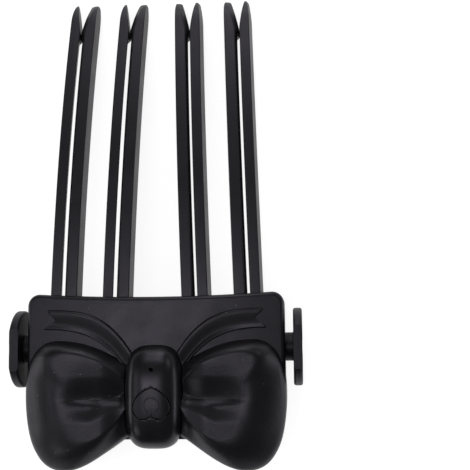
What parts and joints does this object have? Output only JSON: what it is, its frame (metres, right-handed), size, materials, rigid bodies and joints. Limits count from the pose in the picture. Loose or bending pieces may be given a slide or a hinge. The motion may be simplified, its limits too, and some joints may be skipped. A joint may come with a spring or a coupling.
{
  "type": "heated volumizing hair clip",
  "caption": "Heated hair clip: a bow-shaped casing with a heart power button, curved comb tines in pairs, and a sprung push pad on each side that opens the slots between them.",
  "frame": {"origin": "on the flat rear face, below the axis that the two push pads slide along", "axes": "+X across the bow to the right as seen from the front, +Y along the tines to their tips, +Z out of the front with the bow"},
  "size_m": [0.0868, 0.1453, 0.0299],
  "materials": {
    "casing": "satin",
    "knot": "semi-gloss",
    "button": "semi-gloss",
    "switch_cap": "matt",
    "switch_case": "plated",
    "clear_plastic": "clear",
    "light": "glossy",
    "board": "solder mask",
    "chip": "matt",
    "plated_steel": "plated",
    "cell": "foil",
    "foam": "foam",
    "wire_insulation": "satin",
    "tine_plastic": "satin",
    "heater_foil": "foil",
    "ceramic": "glazed",
    "screw_steel": "zinc plated",
    "spring_steel": "drawn wire",
    "pad": "satin",
    "plug": "matt"
  },
  "bodies": {
    "casing": {"rear_cover": "casing", "front_cover": "casing", "knot_cover": "knot", "tact_switch": "switch_case", "light_pipe": "clear_plastic", "indicator_light": "light", "circuit_board": "board", "control_chips": "chip", "charging_inlet": "plated_steel", "inlet_tongue": "chip", "battery": "cell", "battery_pad": "foam", "battery_leads": "wire_insulation", "fixed_comb": "tine_plastic", "heater_strips": "heater_foil", "heater_leads": "wire_insulation", "thermal_cutout": "ceramic", "comb_screws": "screw_steel", "left_spring": "spring_steel", "right_spring": "spring_steel", "case_screws": "screw_steel", "screw_plugs": "plug", "knot_screws": "screw_steel", "board_screws": "screw_steel"},
    "left_slider": {"left_comb": "tine_plastic", "left_push_pad": "pad", "left_pad_screw": "screw_steel"},
    "right_slider": {"right_comb": "tine_plastic", "right_push_pad": "pad", "right_pad_screw": "screw_steel"},
    "button": {"power_button": "button", "switch_plunger": "switch_cap"}
  },
  "joints": [
    {"name": "left_pad_slide", "type": "slide", "parent": "casing", "child": "left_slider", "axis": [1, 0, 0], "range_m": [0, 0.0022], "stiffness_N_per_m": 400, "springref_m": -0.002, "deforming": ["left_spring"]},
    {"name": "right_pad_slide", "type": "slide", "parent": "casing", "child": "right_slider", "axis": [-1, 0, 0], "range_m": [0, 0.0022], "stiffness_N_per_m": 400, "springref_m": -0.002, "deforming": ["right_spring"]},
    {"name": "power_button_press", "type": "slide", "parent": "casing", "child": "button", "axis": [0, 0, -1], "range_m": [0, 0.0004], "stiffness_N_per_m": 200, "springref_m": -0.0005}
  ]
}
